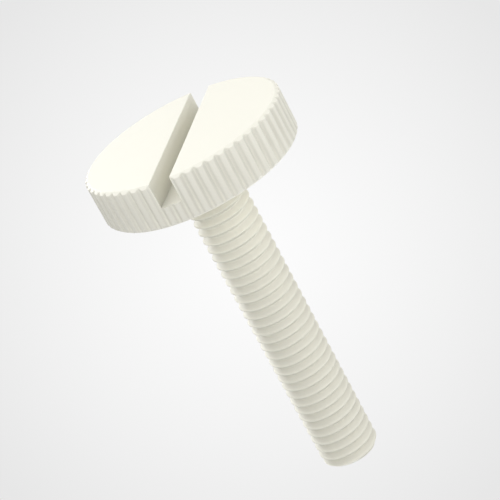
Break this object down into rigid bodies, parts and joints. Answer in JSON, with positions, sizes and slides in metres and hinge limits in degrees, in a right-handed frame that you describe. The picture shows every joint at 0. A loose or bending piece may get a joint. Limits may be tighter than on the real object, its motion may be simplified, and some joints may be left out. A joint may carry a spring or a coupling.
{
  "type": "thumb screw",
  "caption": "Plastic thumb screw with a flat round knurled head, a straight driver slot across it and a fully threaded shank.",
  "frame": {"origin": "centre of the slotted face of the head, which the screw stands on", "axes": "+Z along the screw's axis from the slotted face to the shank's tip; +X along the driver slot; +Y across the slot"},
  "size_m": [0.0166, 0.0166, 0.0315],
  "materials": {
    "natural_nylon": "satin moulded"
  },
  "bodies": {
    "root": {"thumb_screw": "natural_nylon"}
  },
  "joints": []
}
